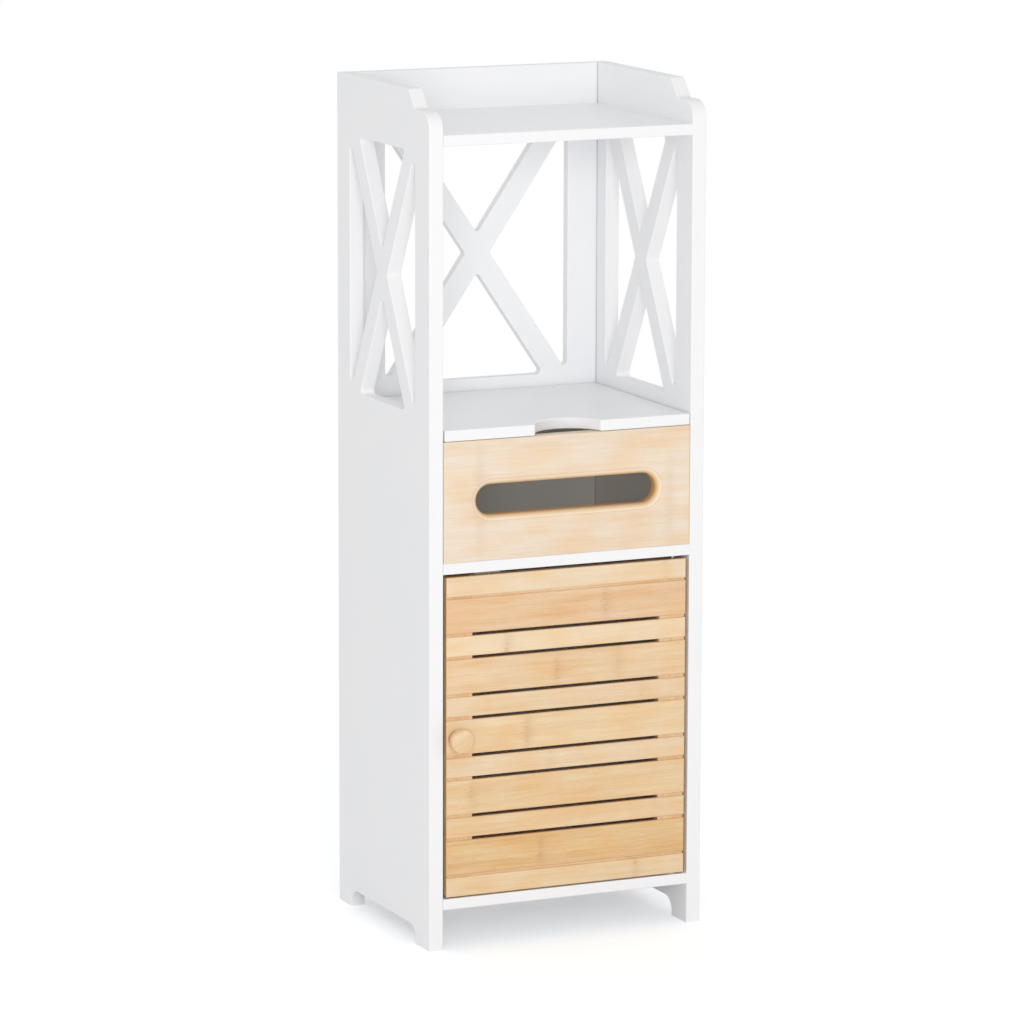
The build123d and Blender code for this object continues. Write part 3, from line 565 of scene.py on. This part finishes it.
def addKnob(look):
    # the profile is turned about the knob's axis: sideways by cosine, up by sine
    node = "door_knob"
    low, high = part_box(node)
    middleX, middleZ = (low.x + high.x) / 2, (low.z + high.z) / 2
    r, h = knobProfile((high.x - low.x) / 2, high.y - low.y, look)
    turns = np.linspace(0, 2 * math.pi, look["around"], endpoint=False)
    x = middleX + r[:, None] * np.cos(turns)
    z = middleZ + r[:, None] * np.sin(turns)
    grid = np.stack([x, np.broadcast_to((high.y - h)[:, None], x.shape), z], axis=-1)
    rows, columns = grid.shape[:2]
    faces = gridFaces(rows, columns).tolist()
    faces.append(list(range(columns))[::-1])
    faces.append(list(range((rows - 1) * columns, rows * columns)))
    material, tree, shader, wood = bambooMaterial("turnedBambooKnob", look)
    # painted shade: the neck under the head is painted a darker orange-brown, fading out towards the head
    place = addNode(tree, "TexCoord")
    axes = addNode(tree, "SeparateXYZ", None, {0: place.outputs["Object"]})
    fade = [high.y - off for off in look["neckShadeFade"]]
    neck = addNode(tree, "MapRange", fromTo(fade, (0.0, look["neckShadeShare"])), {"Value": axes.outputs["Y"]})
    neckShaded = addNode(tree, "Mix", {"data_type": "RGBA", 7: linearColour(look["neckShadeColour"])},
                      {0: neck.outputs[0], 6: wood.outputs[2]})
    tree.links.new(neckShaded.outputs[2], shader.inputs["Base Color"])
    addPiece("knob", grid, faces, material, "door", [node])


addKnob(knobLook)
print("knob made")


frameLook = {
    "light": "EBCFA8", "dark": "DDB388", "knuckle": "B98A5C", "endGrain": "E2B07A",
    "toneRange": (0.22, 0.78), "fibreShare": 0.3, "streakShare": 0.35, "cloudShare": 0.15, "dashShare": 0.15,
    "stripShare": 0.2, "lineShare": 0.5, "hazeShare": 0.25,
    "knuckles": [(0.08, 0.07, 0.03, 0.8), (-0.3, -0.125, 0.03, 0.8)],
}
railLook = {**frameLook, "turn": (0, 0, 0), "shift": (0.19, 0, 0.004)}
stileLook = {**frameLook, "turn": (0, quarter, 0), "shift": (0.07, 0, 0.002)}
railBamboo = bambooMaterial("varnishedBambooRail", railLook)[0]
stileBamboo = bambooMaterial("varnishedBambooStile", stileLook)[0]
for name in ("door_rail_top", "door_rail_bottom"):
    wear(name, railBamboo)
for name in ("door_stile_left", "door_stile_right"):
    wear(name, stileBamboo)
print("door frame varnished")


# Bright zinc is silvery with a cool cast, a cloudy sheen and fine turning marks. Moulded nylon is milky white with
# a soft sheen, sintered ferrite is dull charcoal grit, and beech has short dark flecks.
zinc = {
    "bright": "D3D6D9", "dull": "A9AEB4", "blotch": 0.004, "turning": 0.0006,
    "spread": (0.3, 0.7), "roughness": (0.25, 0.45), "relief": 0.4, "markDepth": 0.00003,
}
nylon = {"colour": "EDEBE4", "shade": "E4E1D8", "grain": 0.0007, "roughness": 0.5}
ferrite = {"colour": "2E2D2C", "grit": "45423F", "grain": 0.0009, "roughness": 0.75}
beech = {"light": "DDB98B", "dark": "C79A66", "fleckWidth": 0.0007, "fleckLength": 0.006, "roughness": 0.7}


def zincPlatedSteel(look):
    material, tree, shader = newMaterial("brightZincPlatedSteel")
    place = addNode(tree, "TexCoord")
    cloud = addNode(tree, "TexNoise", {"Scale": 1 / look["blotch"], "Detail": 3.0},
                    {"Vector": place.outputs["Object"]})
    marks = addNode(tree, "TexNoise", {"Scale": 1 / look["turning"], "Detail": 1.0},
                    {"Vector": place.outputs["Object"]})
    tint = addNode(tree, "Mix", {"data_type": "RGBA", 6: linearColour(look["bright"]),
                                 7: linearColour(look["dull"])}, {0: cloud.outputs["Fac"]})
    rough = addNode(tree, "MapRange", fromTo(look["spread"], look["roughness"]), {"Value": cloud.outputs["Fac"]})
    bump = addNode(tree, "Bump", {"Strength": look["relief"], "Distance": look["markDepth"]},
                   {"Height": marks.outputs["Fac"]})
    tree.links.new(tint.outputs[2], shader.inputs["Base Color"])
    tree.links.new(rough.outputs[0], shader.inputs["Roughness"])
    tree.links.new(bump.outputs[0], shader.inputs["Normal"])
    shader.inputs["Metallic"].default_value = 1.0
    return material


steel = zincPlatedSteel(zinc)
mouldedNylon = grainyMaterial("mouldedNylon", nylon["colour"], nylon["shade"], nylon["grain"],
                              nylon["roughness"])
sinteredFerrite = grainyMaterial("sinteredFerrite", ferrite["colour"], ferrite["grit"], ferrite["grain"],
                                 ferrite["roughness"])
turnedBeech = grainyMaterial("turnedBeech", beech["light"], beech["dark"], beech["fleckWidth"], beech["roughness"],
                             (beech["fleckWidth"] / beech["fleckLength"], 1, 1))
finishes = {"steel": steel, "nylon": mouldedNylon, "magnet": sinteredFerrite, "dowel_beech": turnedBeech}
for part in frame["record"]["subparts"]:
    if part["material_slot"] in finishes:
        wear(part["node"], finishes[part["material_slot"]])
print("fittings finished")


studio = {
    "skyLight": 0.745,                  # the room's even light; 1 is white to the camera
    "paper": "F7F7F7",                  # what the floor throws back on the unit
    "paperGain": (1.3, 1.315, 1.335),   # lifts the lit paper to white in the shot, and keeps its shadows
    "veil": 0.3,                        # share of plain white over the paper near the unit
    "fade": (0.5, 1.0),                 # metres from the unit over which the paper turns to plain white
    "floorReach": 40.0,
}
lamps = {
    "softboxLamp": {"place": (-1.9, -4.6, 1.3), "target": (0, 0, 0.5), "size": 2.0, "power": 82.0},
}


def addLamp(name, settings):
    light = bpy.data.lights.new(name, "AREA")
    light.shape, light.size, light.energy = "SQUARE", settings["size"], settings["power"]
    lamp = bpy.data.objects.new(name, light)
    bpy.context.scene.collection.objects.link(lamp)
    place, target = np.array(settings["place"], float), np.array(settings["target"], float)
    away = (place - target) / np.linalg.norm(place - target)
    side = np.cross((0, 0, 1), away) if abs(away[2]) < 0.99 else np.array((1.0, 0, 0))
    side /= np.linalg.norm(side)
    turned = np.column_stack([side, np.cross(away, side), away, place])
    lamp.matrix_world = Matrix([*turned.tolist(), [0, 0, 0, 1]])
    lamp.visible_camera = False


def setSky(settings):
    # the camera, mirrors and glass see white, and everything else gets the room's even light
    world = bpy.data.worlds.new("paleRoom")
    world.use_nodes = True
    tree = world.node_tree
    tree.nodes.clear()
    path = addNode(tree, "LightPath")
    seen = addNode(tree, "Math", {"operation": "MAXIMUM"},
                   {0: path.outputs["Is Camera Ray"], 1: path.outputs["Is Glossy Ray"]})
    seenToo = addNode(tree, "Math", {"operation": "MAXIMUM"},
                      {0: seen.outputs[0], 1: path.outputs["Is Transmission Ray"]})
    level = addNode(tree, "MapRange", fromTo((0.0, 1.0), (settings["skyLight"], 1.0)),
                    {"Value": seenToo.outputs[0]})
    sky = addNode(tree, "Background", {"Color": (1, 1, 1, 1)}, {"Strength": level.outputs[0]})
    addNode(tree, "OutputWorld", None, {"Surface": sky.outputs[0]})
    bpy.context.scene.world = world


def addFloor(settings):
    far = settings["floorReach"]
    mesh = bpy.data.meshes.new("studioFloor")
    mesh.from_pydata([(-far, -far, 0), (far, -far, 0), (far, far, 0), (-far, far, 0)], [], [(0, 1, 2, 3)])
    floor = bpy.data.objects.new("studioFloor", mesh)
    bpy.context.scene.collection.objects.link(floor)
    material = bpy.data.materials.new("mattePaperFloor")
    material.use_nodes = True
    tree = material.node_tree
    tree.nodes.clear()
    path = addNode(tree, "LightPath")
    lifted = [*settings["paperGain"], 1.0]
    paper = addNode(tree, "Mix", {"data_type": "RGBA", 6: linearColour(settings["paper"]), 7: lifted},
                    {0: path.outputs["Is Camera Ray"]})
    lit = addNode(tree, "BsdfDiffuse", None, {"Color": paper.outputs[2]})
    plain = addNode(tree, "Emission", {"Color": (1, 1, 1, 1), "Strength": 1.0})
    place = addNode(tree, "TexCoord")
    reach = addNode(tree, "VectorMath", {"operation": "LENGTH"}, {0: place.outputs["Object"]})
    fade = addNode(tree, "MapRange", {"interpolation_type": "SMOOTHSTEP",
                                      **fromTo(settings["fade"], (settings["veil"], 1.0))},
                   {"Value": reach.outputs["Value"]})
    seen = addNode(tree, "Math", {"operation": "MULTIPLY"}, {0: fade.outputs[0], 1: path.outputs["Is Camera Ray"]})
    mixed = addNode(tree, "MixShader", None, {0: seen.outputs[0], 1: lit.outputs[0], 2: plain.outputs[0]})
    addNode(tree, "OutputMaterial", None, {"Surface": mixed.outputs[0]})
    mesh.materials.append(material)


setSky(studio)
addFloor(studio)
for name, settings in lamps.items():
    addLamp(name, settings)
print("lights set")
